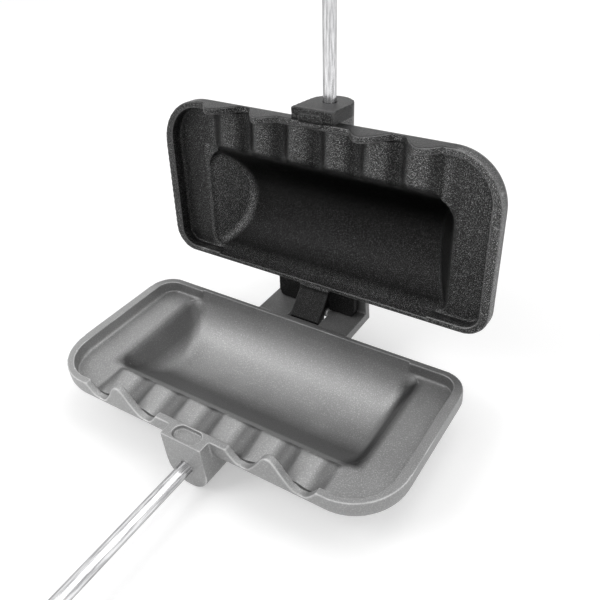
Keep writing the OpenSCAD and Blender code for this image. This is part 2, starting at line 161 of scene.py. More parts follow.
# 1 where the ray comes from the camera or from a reflection, so that shiny things show the pale room
def seenMask(tree):
    path = addNode(tree, "ShaderNodeLightPath")
    seen = calc(tree, "MAXIMUM", path.outputs["Is Camera Ray"], path.outputs["Is Glossy Ray"])
    return calc(tree, "MAXIMUM", seen, path.outputs["Is Transmission Ray"])


def makeFloor(look):
    reach = look["reach"]
    corners = [(-reach, -reach, 0), (reach, -reach, 0), (reach, reach, 0), (-reach, reach, 0)]
    mesh = bpy.data.meshes.new("floor")
    mesh.from_pydata(corners, [], [(0, 1, 2, 3)])
    floor = link(bpy.data.objects.new("floor", mesh))
    material = bpy.data.materials.new("paleFloor")
    tree = clearTree(material)
    out = addNode(tree, "ShaderNodeOutputMaterial")
    pale = addNode(tree, "ShaderNodeBsdfDiffuse", Color=grey(look["floorColour"]) + (1,))
    glow = addNode(tree, "ShaderNodeEmission")
    both = addNode(tree, "ShaderNodeAddShader")
    tree.links.new(product(tree, seenMask(tree), look["floorLift"]), glow.inputs["Strength"])
    tree.links.new(pale.outputs[0], both.inputs[0])
    tree.links.new(glow.outputs[0], both.inputs[1])
    tree.links.new(both.outputs[0], out.inputs["Surface"])
    mesh.materials.append(material)


def makeWorld(look):
    world = bpy.data.worlds.new("paleRoom")
    bpy.context.scene.world = world
    tree = clearTree(world)
    out = addNode(tree, "ShaderNodeOutputWorld")
    room = addNode(tree, "ShaderNodeBackground", Strength=look["roomLight"], Color=(1, 1, 1, 1))
    white = addNode(tree, "ShaderNodeBackground", Strength=1.0, Color=(1, 1, 1, 1))
    mix = addNode(tree, "ShaderNodeMixShader")
    tree.links.new(seenMask(tree), mix.inputs[0])
    tree.links.new(room.outputs[0], mix.inputs[1])
    tree.links.new(white.outputs[0], mix.inputs[2])
    tree.links.new(mix.outputs[0], out.inputs["Surface"])


makeCamera(cameraView)
makeFloor(stageLook)
makeWorld(stageLook)
for lampLook in lamps:
    makeLamp(lampLook)
bpy.context.scene.view_settings.view_transform = "Standard"
print("stage made")


# Where a place gets to by a turn about the turning line, from how far it lies behind and above that line
def aboutPivot(y, z, turn):
    newY = stand["pivotY"] + y * math.cos(turn) - z * math.sin(turn)
    newZ = stand["pivotZ"] + y * math.sin(turn) + z * math.cos(turn)
    return newY, newZ


# Coordinates in which the rim's plane is at zero and the hollow lies below it, in millimetres
def lowerPlaces(points):
    half = points / mm
    half[:, 2] -= stand["parting"]
    return half


def upperPlaces(points):
    half = points / mm
    y, z = half[:, 1] - stand["pivotY"], half[:, 2] - stand["pivotZ"]
    half[:, 1], half[:, 2] = aboutPivot(y, z, openTurn)
    half[:, 2] = stand["parting"] + stand["gap"] - half[:, 2]
    return half


# Sizes that both castings share, in the half's own coordinates. ribFloor holds the depth between the ribs at
# the front and at the lands, endShares the sine and cosine of the slope of the hollow's ends
castShape = {
    "pitch": 26.3, "ribX": 79.0, "ribFloor": (-9.45, -6.2), "ribFront": -49.4, "landDepth": 8.0,
    "hollowX": 88.5, "hollowY": 13.0, "arcZ": 6.55, "endShares": (0.837, 0.547),
}
# Where the frame's origin gets to when the upper half is turned shut
shutY, shutZ = (amount * mm for amount in aboutPivot(-stand["pivotY"], -stand["pivotZ"], openTurn))
# What sets each half apart: where its hollow begins, how steep the front of it is, in radians, and which way
# is up. turn, shift and side bring a pattern into the half's own coordinates
lowerCast = {
    "places": lowerPlaces, "landY": -28.0, "slope": 0.714, "up": (0, 0, 1),
    "turn": 0.0, "shift": (0, 0, -stand["parting"] * mm), "side": 1,
}
upperCast = {
    "places": upperPlaces, "landY": -23.2, "slope": 0.883,
    "up": (0, -math.sin(openTurn), -math.cos(openTurn)),
    "turn": openTurn, "shift": (0, shutY, shutZ - (stand["parting"] + stand["gap"]) * mm), "side": -1,
}


def makeGroup(name, inputs, outputs, kind="NodeSocketFloat"):
    group = bpy.data.node_groups.new(name, "ShaderNodeTree")
    for label in inputs:
        group.interface.new_socket(label, in_out="INPUT", socket_type=kind)
    for label in outputs:
        group.interface.new_socket(label, in_out="OUTPUT", socket_type="NodeSocketFloat")
    return group, addNode(group, "NodeGroupInput"), addNode(group, "NodeGroupOutput")


def placeGroup(tree, group, **values):
    return addNode(tree, "ShaderNodeGroup", {"node_tree": group}, **values)


# Pebbly skin of a sand casting: a height, bright grains and large soft clouds
def castGrainGroup():
    group, ins, outs = makeGroup(
        "castGrain", ["Grain Size", "Grain Start", "Grain End"], ["Height", "Grains", "Cloud"])
    join = group.links.new
    coords = addNode(group, "ShaderNodeTexCoord")
    fine = addNode(group, "ShaderNodeTexNoise", Detail=3.0, Roughness=0.65)
    cloud = addNode(group, "ShaderNodeTexNoise", Scale=38.0, Detail=4.0, Roughness=0.55)
    grains = addNode(group, "ShaderNodeMapRange", {"interpolation_type": "SMOOTHSTEP"})
    join(calc(group, "DIVIDE", 1.0, ins.outputs["Grain Size"]), fine.inputs["Scale"])
    join(coords.outputs["Object"], fine.inputs["Vector"])
    join(coords.outputs["Object"], cloud.inputs["Vector"])
    join(fine.outputs[0], grains.inputs["Value"])
    join(ins.outputs["Grain Start"], grains.inputs["From Min"])
    join(ins.outputs["Grain End"], grains.inputs["From Max"])
    join(fine.outputs[0], outs.inputs["Height"])
    join(grains.outputs[0], outs.inputs["Grains"])
    join(cloud.outputs[0], outs.inputs["Cloud"])
    return group


# Real wear and a painted highlight where an edge stands out, broken up by noise
def edgeWearGroup(look):
    group, ins, outs = makeGroup("edgeWearAndHighlight", ["Edge Start", "Edge End", "Patch Scale"], ["Wear"])
    join = group.links.new
    shape = addNode(group, "ShaderNodeNewGeometry")
    coords = addNode(group, "ShaderNodeTexCoord")
    patches = addNode(group, "ShaderNodeTexNoise", Detail=5.0, Roughness=0.6)
    edge = addNode(group, "ShaderNodeMapRange", {"interpolation_type": "SMOOTHSTEP"})
    join(coords.outputs["Object"], patches.inputs["Vector"])
    join(ins.outputs["Patch Scale"], patches.inputs["Scale"])
    join(shape.outputs["Pointiness"], edge.inputs["Value"])
    join(ins.outputs["Edge Start"], edge.inputs["From Min"])
    join(ins.outputs["Edge End"], edge.inputs["From Max"])
    broken = rangeOf(group, patches.outputs[0], look["least"], 1.0, look["patchFrom"], look["patchTo"])
    join(product(group, edge.outputs[0], broken), outs.inputs["Wear"])
    return group


wearAndHighlightLook = {"patchScale": 60.0, "patchFrom": 0.35, "patchTo": 0.6, "least": 0.45}
castGrain = castGrainGroup()
edgeWearAndHighlight = edgeWearGroup(wearAndHighlightLook)

# Where the painted shade of a casting starts and ends, in the half's own millimetres, and how soft its edges
# are.
# A share says how much of the painted shade stays on the left, at the left end wall or on the block's face
paintedShadeShape = {
    "shallowZ": (-13, -10), "middle": 10, "halfLength": 100,
    "valleyFront": -50.0, "valleyPast": 0.5, "valleySoft": 0.8, "valleyEnd": 2, "underFloor": (-2.3, -1.9),
    "slotY": (-50.1, -49.2), "slotSoft": 0.12, "slotEnds": (80.5, 81),
    "arcReach": (40.3, 41.2), "insideEdge": (-2.2, -1.2), "hollowZ": (-7, -14), "endNear": (1.5, 6),
    "lipX": (77, 89), "lipZ": (-29, -5), "lipWide": 3,
    "lipPast": 2, "lipRear": 47, "lipSoft": 2, "lipShare": 0.7,
    "frontPast": 1, "frontRear": 2, "frontSoft": 6, "frontShare": 0.3,
    "frontFace": (-54.2, -53.9), "rearFace": (54.5, 55.5),
    "blockY": (-56, -55), "blockZ": (-4, -3), "blockShare": 0.65,
    "rearY": (34, 50), "landX": (80, 86), "landZ": (-10.5, -4), "landSoft": 1.5,
}


# Painted shade on the floors between the ribs, where the ribs shade them, and a painted shadow in the slot
# behind the wavy rim
def ribMasks(group, place, shape, look, half):
    x, y, z = place["x"], place["y"], place["z"]
    lowFloor, highFloor = castShape["ribFloor"]
    # valleyShift moves the painted shade towards the rib flanks that face away from the light
    fromValley = calc(group, "ADD", place["along"], look["valleyShift"])
    wave = calc(group, "COSINE", product(group, fromValley, 2 * math.pi / castShape["pitch"]))
    floor = rangeOf(group, y, lowFloor, highFloor, castShape["ribFront"], half["landY"])
    above = rangeOf(group, calc(group, "SUBTRACT", z, floor), 0, 1, *shape["underFloor"])
    between = band(group, y, shape["valleyFront"], half["landY"] + shape["valleyPast"], shape["valleySoft"])
    ends = rangeOf(group, x, 1, 0, castShape["ribX"], castShape["ribX"] + shape["valleyEnd"])
    deep = rangeOf(group, wave, 0, 1, *look["valleyRange"])
    behindRim = band(group, y, *shape["slotY"], shape["slotSoft"])
    return {
        "valley": product(group, deep, between, above, ends),
        "slot": product(group, behindRim, rangeOf(group, x, 1, 0, *shape["slotEnds"]), place["shallow"]),
    }


# How far a place lies inside a sloped wall, from how far it lies inside and above the wall's upper edge
def insideSlope(tree, run, rise, shares):
    return calc(tree, "ADD", product(tree, run, shares[0]), product(tree, rise, shares[1]))


# Painted shade in the hollow, on its front slope, along its end lips and from one end to the other.
# Inside of the hollow: within its rear arc, behind its front slope and between its sloped ends
def hollowMasks(group, place, shape, look, half):
    x, y, z = place["x"], place["y"], place["z"]
    fromLand = calc(group, "ADD", z, castShape["landDepth"])
    outY = calc(group, "POWER", calc(group, "SUBTRACT", y, castShape["hollowY"]), 2.0)
    outZ = calc(group, "POWER", calc(group, "SUBTRACT", z, castShape["arcZ"]), 2.0)
    reach = calc(group, "SQRT", calc(group, "ADD", outY, outZ))
    frontShares = (math.sin(half["slope"]), math.cos(half["slope"]))
    ahead = insideSlope(group, calc(group, "SUBTRACT", y, half["landY"]), fromLand, frontShares)
    fromEnd = calc(group, "SUBTRACT", castShape["hollowX"], x)
    beside = insideSlope(group, fromEnd, fromLand, castShape["endShares"])
    inner = product(group, rangeOf(group, reach, 1, 0, *shape["arcReach"]),
                    rangeOf(group, ahead, 0, 1, *shape["insideEdge"]),
                    rangeOf(group, beside, 0, 1, *shape["insideEdge"]))
    leftSide = rangeOf(group, place["along"], 1, 0, -shape["middle"], shape["middle"])
    endWall = product(group, rangeOf(group, beside, 1, 0, *shape["endNear"]), leftSide)
    hollow = product(group, rangeOf(group, z, 0, 1, *shape["hollowZ"]), inner,
                     rangeOf(group, endWall, 1, look["endShare"]))
    # A painted dark band of shade along the lips at the hollow's ends
    lipDepth = band(group, y, half["landY"] + shape["lipPast"], shape["lipRear"], shape["lipSoft"])
    lipEnds = band(group, x, *shape["lipX"], shape["lipWide"])
    lipRise = band(group, z, *shape["lipZ"], shape["lipWide"])
    lip = product(group, lipEnds, lipDepth, lipRise, rangeOf(group, leftSide, 1, shape["lipShare"]),
                  calc(group, "MAXIMUM", inner, place["shallow"]))
    # Painted shade on the hollow's front slope
    frontDepth = band(group, y, half["landY"] + shape["frontPast"], shape["frontRear"], shape["frontSoft"])
    front = product(group, frontDepth, hollow, rangeOf(group, endWall, 1, shape["frontShare"]))
    # Painted shade from one end to the other, where less light falls, but not on the left end wall of a half
    # that spares it
    alongMask = rangeOf(group, place["along"], *look["alongMask"], -shape["halfLength"], shape["halfLength"])
    spared = rangeOf(group, product(group, inner, endWall), 1, look["endShare"])
    return {"lip": lip, "hollow": hollow, "front": front, "along": product(group, alongMask, spared)}


# Painted shade on the outer faces in front and behind, on the rear stretch and on the lands beside the hollow
def outsideMasks(group, place, shape):
    x, y, z = place["x"], place["y"], place["z"]
    frontFace = rangeOf(group, y, 1, 0, *shape["frontFace"])
    outer = calc(group, "MAXIMUM", frontFace, rangeOf(group, y, 0, 1, *shape["rearFace"]))
    # The face of the block that lies in the rim's plane gets less of the painted shade
    blockFace = product(group, rangeOf(group, y, 1, 0, *shape["blockY"]),
                        rangeOf(group, z, 0, 1, *shape["blockZ"]))
    landFace = band(group, z, *shape["landZ"], shape["landSoft"])
    return {
        "outer": product(group, outer, rangeOf(group, blockFace, 1, shape["blockShare"])),
        "rear": rangeOf(group, y, 0, 1, *shape["rearY"]),
        "land": product(group, rangeOf(group, x, 0, 1, *shape["landX"]), landFace),
    }


# Painted shade: how much darker a casting is painted in its hollow, between its ribs, at its end lips, behind
# the wavy rim, on its outer faces, rear stretch and lands, and from end to end.
# The input holds the place in the half's own coordinates
def paintedShadeGroup(name, look, half):
    group, ins, outs = makeGroup(name, ["Place"], ["Shade"], "NodeSocketVector")
    split = addNode(group, "ShaderNodeSeparateXYZ")
    group.links.new(ins.outputs[0], split.inputs[0])
    along, y, z = split.outputs
    shallow = rangeOf(group, z, 0, 1, *paintedShadeShape["shallowZ"])
    place = {"along": along, "x": calc(group, "ABSOLUTE", along), "y": y, "z": z, "shallow": shallow}
    masks = ribMasks(group, place, paintedShadeShape, look, half)
    masks.update(hollowMasks(group, place, paintedShadeShape, look, half))
    masks.update(outsideMasks(group, place, paintedShadeShape))
    shades = [rangeOf(group, mask, 1, look[level]) for level, mask in masks.items()]
    group.links.new(product(group, *shades), outs.inputs[0])
    return group


def makeCastFinish(name, look, half):
    material = bpy.data.materials.new(name)
    tree = clearTree(material)
    join = tree.links.new
    out = addNode(tree, "ShaderNodeOutputMaterial")
    shader = addNode(tree, "ShaderNodeBsdfPrincipled", Metallic=look["metallic"])
    shader.inputs["Specular IOR Level"].default_value = look["specular"]
    grain = placeGroup(tree, castGrain, Grain_Size=look["grainSize"], Grain_Start=look["grainStart"],
                       Grain_End=look["grainEnd"])
    wear = placeGroup(tree, edgeWearAndHighlight, Edge_Start=look["edgeStart"], Edge_End=look["edgeEnd"],
                      Patch_Scale=wearAndHighlightLook["patchScale"])
    coords = addNode(tree, "ShaderNodeTexCoord")
    turn = addNode(tree, "ShaderNodeMapping", Rotation=(half["turn"], 0, 0), Location=half["shift"])
    scale = addNode(tree, "ShaderNodeVectorMath", {"operation": "MULTIPLY"})
    scale.inputs[1].default_value = (1 / mm, 1 / mm, half["side"] / mm)
    shade = placeGroup(tree, paintedShadeGroup(name + "Shade", look, half))
    bump = addNode(tree, "ShaderNodeBump", Strength=look["bump"], Distance=look["bumpDepth"])
    cloudy = rangeOf(tree, grain.outputs["Cloud"], 0, 1, *look["cloudRange"])
    base = mixColours(tree, cloudy, look["dark"], look["colour"])
    speckled = mixColours(tree, grain.outputs["Grains"], base, look["grainColour"])
    # Edges are lighter partly from wear and partly as a painted highlight
    worn = mixColours(tree, wear.outputs["Wear"], speckled, look["wornAndHighlightColour"])
    rough, spread = look["roughness"], look["roughSpread"]
    dullness = rangeOf(tree, grain.outputs["Cloud"], rough - spread, rough + spread, *look["roughRange"])
    join(coords.outputs["Object"], turn.inputs["Vector"])
    join(turn.outputs[0], scale.inputs[0])
    join(scale.outputs[0], shade.inputs[0])
    # The painted shade darkens the colour towards black
    join(mixColours(tree, shade.outputs[0], grey(0.0), worn), shader.inputs["Base Color"])
    join(dullness, shader.inputs["Roughness"])
    join(grain.outputs["Height"], bump.inputs["Height"])
    join(bump.outputs[0], shader.inputs["Normal"])
    join(shader.outputs[0], out.inputs["Surface"])
    return material


# grainSize and bumpDepth are in metres. The names from valley to land say what share of its colour the
# casting keeps under the painted shade there
castLook = {
    "metallic": 0.6, "bumpDepth": 0.00025, "edgeStart": 0.506, "edgeEnd": 0.545,
    "cloudRange": (0.35, 0.65), "roughSpread": 0.05, "roughRange": (0.3, 0.7),
}
greyCastLook = {
    **castLook,
    "colour": grey(0.36), "dark": grey(0.325), "grainColour": grey(0.56), "wornAndHighlightColour": grey(0.7),
    "specular": 0.5, "roughness": 0.45, "bump": 0.6,
    "grainSize": 0.0006, "grainStart": 0.5, "grainEnd": 0.7,
    "valleyShift": 1.5, "valleyRange": (-0.15, 0.75), "endShare": 1.0, "alongMask": (0, 1),
    "valley": 0.45, "slot": 0.2, "lip": 0.2, "hollow": 1.0, "front": 0.5, "rear": 0.58, "outer": 1.0,
    "along": 0.82, "land": 1.0,
}
blackCoatLook = {
    **castLook,
    "colour": grey(0.054), "dark": grey(0.04), "grainColour": grey(0.58), "wornAndHighlightColour": grey(0.24),
    "specular": 0.2, "roughness": 0.33, "bump": 0.8,
    "grainSize": 0.00042, "grainStart": 0.56, "grainEnd": 0.63,
    "valleyShift": 0.0, "valleyRange": (-0.5, 0.55), "endShare": 0.0, "alongMask": (1, 0),
    "valley": 0.35, "slot": 0.3, "lip": 1.0, "hollow": 0.175, "front": 0.08, "rear": 1.0, "outer": 0.14,
    "along": 0.5, "land": 0.58,
}


# Bright metal with streaks and painted shade along its rims, where the surface turns away from the view.
# tilt turns the streaks to the rod's own line
def makeBrightSteel(name, look, tilt):
    material = bpy.data.materials.new(name)
    tree = clearTree(material)
    join = tree.links.new
    out = addNode(tree, "ShaderNodeOutputMaterial")
    shader = addNode(tree, "ShaderNodeBsdfPrincipled", Metallic=1.0)
    coords = addNode(tree, "ShaderNodeTexCoord")
    turn = addNode(tree, "ShaderNodeMapping", Rotation=(tilt, 0, 0))
    stretch = addNode(tree, "ShaderNodeMapping", Scale=(1, look["stretch"], 1))
    ripple = addNode(tree, "ShaderNodeTexNoise", Scale=look["rippleScale"], Detail=3.0, Roughness=0.5)
    smear = addNode(tree, "ShaderNodeTexNoise", Scale=look["smearScale"], Detail=5.0, Roughness=0.65)
    bump = addNode(tree, "ShaderNodeBump", Strength=look["bump"], Distance=look["bumpDepth"])
    edge = addNode(tree, "ShaderNodeLayerWeight", Blend=0.5)
    join(coords.outputs["Object"], turn.inputs["Vector"])
    join(turn.outputs[0], stretch.inputs["Vector"])
    join(stretch.outputs[0], ripple.inputs["Vector"])
    join(stretch.outputs[0], smear.inputs["Vector"])
    streak = rangeOf(tree, smear.outputs[0], 0, 1, *look["streakRange"])
    # Painted shade at the rims, darker where the surface turns away from the camera
    rimShadeMask = rangeOf(tree, edge.outputs["Facing"], 0, 1, look["rimFrom"], look["rimTo"])
    streaks = mixColours(tree, streak, look["dark"], look["colour"])
    join(mixColours(tree, rimShadeMask, streaks, look["rim"]), shader.inputs["Base Color"])
    dullness = rangeOf(tree, smear.outputs[0], look["shine"], look["dull"], *look["dullRange"])
    join(dullness, shader.inputs["Roughness"])
    join(ripple.outputs[0], bump.inputs["Height"])
    join(bump.outputs[0], shader.inputs["Normal"])
    join(shader.outputs[0], out.inputs["Surface"])
    return material


# rim, rimFrom and rimTo give the colour and the spread of the painted shade at the rims
steelLook = {"rimTo": 0.95, "streakRange": (0.38, 0.58), "dullRange": (0.35, 0.7), "dull": 0.3}
rodLook = {
    **steelLook,
    "colour": (0.85, 0.85, 0.86), "dark": (0.42, 0.42, 0.43), "rim": grey(0.05), "rimFrom": 0.3,
    "shine": 0.1, "stretch": 0.06, "rippleScale": 260.0, "smearScale": 900.0,
    "bump": 0.3, "bumpDepth": 0.0004,
}
ferruleLook = {
    **steelLook,
    "colour": grey(0.6), "dark": grey(0.4), "rim": grey(0.1), "rimFrom": 0.35,
    "shine": 0.14, "stretch": 1.0, "rippleScale": 90.0, "smearScale": 300.0,
    "bump": 0.12, "bumpDepth": 0.0003,
}


# Wood: long streaks along the rod, pores and a lacquer coat. tilt turns the pattern to the rod's own line
def makeWood(name, look, tilt):
    material = bpy.data.materials.new(name)
    tree = clearTree(material)
    join = tree.links.new
    out = addNode(tree, "ShaderNodeOutputMaterial")
    shader = addNode(tree, "ShaderNodeBsdfPrincipled", Coat_Weight=look["lacquer"],
                     Coat_Roughness=look["lacquerDull"])
    coords = addNode(tree, "ShaderNodeTexCoord")
    turn = addNode(tree, "ShaderNodeMapping", Rotation=(tilt, 0, 0))
    stretch = addNode(tree, "ShaderNodeMapping", Scale=(1, look["stretch"], 1))
    rings = addNode(tree, "ShaderNodeTexWave", {"wave_type": "BANDS", "bands_direction": "X"},
                    Scale=look["ringScale"], Distortion=look["ringBend"], Detail=3.0, Detail_Scale=1.6)
    pores = addNode(tree, "ShaderNodeTexNoise", Scale=look["poreScale"], Detail=4.0, Roughness=0.7)
    bump = addNode(tree, "ShaderNodeBump", Strength=look["bump"], Distance=look["bumpDepth"])
    join(coords.outputs["Object"], turn.inputs["Vector"])
    join(turn.outputs[0], stretch.inputs["Vector"])
    join(stretch.outputs[0], rings.inputs["Vector"])
    join(stretch.outputs[0], pores.inputs["Vector"])
    ringMask = rangeOf(tree, rings.outputs["Fac"], 0, 1, *look["ringRange"])
    ringed = mixColours(tree, ringMask, look["late"], look["early"])
    poreMask = rangeOf(tree, pores.outputs[0], 0, look["poreDark"], *look["poreRange"])
    join(mixColours(tree, poreMask, ringed, look["pore"]), shader.inputs["Base Color"])
    dullness = rangeOf(tree, pores.outputs[0], look["shine"], look["dull"], *look["dullRange"])
    join(dullness, shader.inputs["Roughness"])
    join(pores.outputs[0], bump.inputs["Height"])
    join(bump.outputs[0], shader.inputs["Normal"])
    join(shader.outputs[0], out.inputs["Surface"])
    return material


woodLook = {
    "early": (0.5, 0.27, 0.11), "late": (0.3, 0.13, 0.045), "pore": (0.13, 0.055, 0.02), "stretch": 0.07,
    "ringScale": 110.0, "ringBend": 3.5, "ringRange": (0.2, 0.95), "poreScale": 900.0, "poreDark": 0.75,
    "poreRange": (0.55, 0.75), "shine": 0.34, "dull": 0.52, "dullRange": (0.3, 0.7),
    "bump": 0.25, "bumpDepth": 0.0003, "lacquer": 0.5, "lacquerDull": 0.18,
}

greyCast = makeCastFinish("greyCast", greyCastLook, lowerCast)
blackCoat = makeCastFinish("blackCoat", blackCoatLook, upperCast)
ferruleSteel = makeBrightSteel("ferruleSteel", ferruleLook, 0.0)
rodSteel, gripWood = {}, {}
for bodyName, tilt in (("lower", 0.0), ("upper", openTurn)):
    rodSteel[bodyName] = makeBrightSteel(bodyName + "RodSteel", rodLook, tilt)
    gripWood[bodyName] = makeWood(bodyName + "GripWood", woodLook, tilt)
print("finishes made")


# Distance from the edge of a rectangle with rounded corners, seen in plan, negative inside
def planDistance(x, y, halfX, front, rear, corner):
    centreY, halfY = (front + rear) / 2, (rear - front) / 2
    outX, outY = np.abs(x) - halfX + corner, np.abs(y - centreY) - halfY + corner
    outside = np.hypot(np.maximum(outX, 0), np.maximum(outY, 0))
    return outside + np.minimum(np.maximum(outX, outY), 0) - corner


# voxel is in millimetres, merge in metres. The names from edges to foot say how often the points there are
# averaged. The rest says where each stretch of a half lies, in its own millimetres, and how far a face there
# looks up, inwards or endwards
skinLook = {
    "voxel": 0.5, "triangles": 190000, "merge": 1e-6,
    "edges": 3, "hollow": 68, "lip": 144, "hollowEnds": 287, "ribs": 50, "foot": 30,
    "hollowRear": 51.0, "hollowCorner": 18.0, "hollowPast": 2, "hollowTop": -7.5, "leastReach": 0.1,
    "inward": 0.3, "endward": -0.2, "deepTop": -9, "deepX": 58,
    "landX": 111.0, "landFront": -50.0, "landRear": 50.2, "landCorner": 18.0, "landPast": 1,
    "footHalf": 2.6, "footUp": -0.1,
    "lipHalf": 5.5, "lipZ": (-15, -4), "lipOver": 2, "lipUp": 0.05, "lipRear": 46,
    "ribUp": 0.15, "ribTop": -0.4, "ribFront": -49.2,
    "troughHalf": 6.0, "troughDepth": 1.6, "troughFront": -49.0, "troughRear": 0.5, "troughRun": 2,
    "troughUp": 0.3, "troughZ": (-11, -5.5), "troughEnds": 6,
}


# How many times each point of a half is averaged with its neighbours
def smoothingSteps(half, facing, look, landY):
    x, y, z = half.T
    up, width = facing[:, 2], np.abs(x)
    behindLand = y > landY + look["landPast"]
    fromAxis = np.hypot(y - castShape["hollowY"], z)
    inward = -(facing[:, 1] * (y - castShape["hollowY"]) + up * z) / np.maximum(fromAxis, look["leastReach"])
    ends = np.sign(x) * facing[:, 0]
    inner = (inward > look["inward"]) | ((ends < look["endward"]) & (up > 0))
    inner &= width < castShape["hollowX"] + look["hollowPast"]
    steps = np.full(len(half), look["edges"], float)
    ribs = (up > look["ribUp"]) & (z < look["ribTop"]) & (width < castShape["ribX"])
    steps[ribs & (y > look["ribFront"]) & (y < landY + look["landPast"])] = look["ribs"]
    landWall = planDistance(x, y, look["landX"], look["landFront"], look["landRear"], look["landCorner"])
    foot = (np.abs(z + castShape["landDepth"]) < look["footHalf"]) & (np.abs(landWall) < look["footHalf"])
    steps[foot & (up > look["footUp"]) & (width > castShape["ribX"])] = look["foot"]
    steps[inner & (z < look["hollowTop"]) & behindLand] = look["hollow"]
    lip = planDistance(x, y, castShape["hollowX"], landY, look["hollowRear"], look["hollowCorner"])
    lipBottom, lipTop = look["lipZ"]
    endLip = (np.abs(lip) < look["lipHalf"]) & (z > lipBottom) & (z < lipTop) & (y < look["lipRear"])
    endLip &= (width > castShape["ribX"] - look["lipOver"]) & (up > look["lipUp"])
    steps[endLip] = look["lip"]
    steps[inner & (z < look["deepTop"]) & behindLand & (width > look["deepX"])] = look["hollowEnds"]
    return steps


# How far the flat floor between two ribs sinks to make a round trough, in millimetres
def troughDepths(half, facing, look, landY):
    x, y, z = half.T
    pitch = castShape["pitch"]
    off = np.abs(np.mod(x + pitch / 2, pitch) - pitch / 2)
    across = np.clip(1 - off / look["troughHalf"], 0, 1)
    along = np.clip((y - look["troughFront"]) / look["troughRun"], 0, 1)
    along *= np.clip((landY + look["troughRear"] - y) / look["troughRun"], 0, 1)
    bottom, top = look["troughZ"]
    here = (facing[:, 2] > look["troughUp"]) & (z > bottom) & (z < top)
    here &= np.abs(x) < castShape["ribX"] - look["troughEnds"]
    return here * look["troughDepth"] * along * (1 - np.cos(np.pi * across)) / 2


# Each pass moves a point halfway to the middle of its neighbours
def averageNeighbours(points, edges, steps):
    steps = steps.astype(int)
    done = 0
    for level in sorted(set(steps.tolist())):
        active = steps >= level
        used = edges[active[edges[:, 0]] | active[edges[:, 1]]]
        a, b = used[:, 0], used[:, 1]
        size = len(points)
        count = np.bincount(a, minlength=size) + np.bincount(b, minlength=size)
        for _ in range(level - done):
            total = np.stack([
                np.bincount(a, points[b, k], size) + np.bincount(b, points[a, k], size) for k in range(3)
            ], 1)
            points[active] += 0.5 * (total[active] / count[active, None] - points[active])
        done = level
    return points


# Joins points that lie together. outward turns every face to the outside as well
def mergePoints(mesh, distance, outward=False):
    work = bmesh.new()
    work.from_mesh(mesh)
    bmesh.ops.remove_doubles(work, verts=work.verts, dist=distance)
    if outward:
        bmesh.ops.recalc_face_normals(work, faces=work.faces)
    work.to_mesh(mesh)
    work.free()


def mergedCopy(node, name, look):
    mesh = nodes[node].data.copy()
    mesh.name = name
    mergePoints(mesh, look["merge"])
    mesh.materials.clear()
    return link(bpy.data.objects.new(name, mesh))


def bakeModifiers(piece):
    graph = bpy.context.evaluated_depsgraph_get()
    mesh = bpy.data.meshes.new_from_object(piece.evaluated_get(graph))
    piece.modifiers.clear()
    old = piece.data
    piece.data = mesh
    bpy.data.meshes.remove(old)
    return mesh


def readArray(items, field, width, kind):
    values = np.empty(len(items) * width, kind)
    items.foreach_get(field, values)
    return values.reshape(-1, width)


# The casting's solid with the soft corners of a real casting, kept inside the solid's own box
def castSkin(node, name, look, half, material):
    piece = mergedCopy(node, name, look)
    remesh = piece.modifiers.new("skin", "REMESH")
    remesh.mode, remesh.voxel_size = "VOXEL", look["voxel"] * mm
    mesh = bakeModifiers(piece)
    points = readArray(mesh.vertices, "co", 3, np.float32).astype(float)
    facing = readArray(mesh.vertex_normals, "vector", 3, np.float32).astype(float)
    edges = readArray(mesh.edges, "vertices", 2, np.int32)
    places = half["places"](points)
    towards = half["places"](points + facing * mm) - places
    steps = smoothingSteps(places, towards, look, half["landY"])
    points -= troughDepths(places, towards, look, half["landY"])[:, None] * mm * np.array(half["up"])
    points = averageNeighbours(points, edges, steps)
    low, high = (np.array(corner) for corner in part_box(node))
    points = np.clip(points, low, high)
    mesh.vertices.foreach_set("co", points.astype(np.float32).ravel())
    mesh.update()
    thin = piece.modifiers.new("thin", "DECIMATE")
    thin.ratio = min(1.0, look["triangles"] / (2 * len(mesh.polygons)))
    mesh = bakeModifiers(piece)
    mesh.shade_smooth()
    mesh.materials.append(material)
    print(name, len(mesh.polygons), "faces")
    return piece


lowerCasting = castSkin("lower_shell", "lowerCasting", skinLook, lowerCast, greyCast)
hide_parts("lower_shell")
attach(lowerCasting, "lower")
# The upper casting is softer on its ribs and crisper at its lips and at the ends of its hollow
upperSkin = {**skinLook, "lip": 12, "hollowEnds": 60, "ribs": 110}
upperCasting = castSkin("upper_shell", "upperCasting", upperSkin, upperCast, blackCoat)
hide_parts("upper_shell")
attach(upperCasting, "upper")
print("castings made")


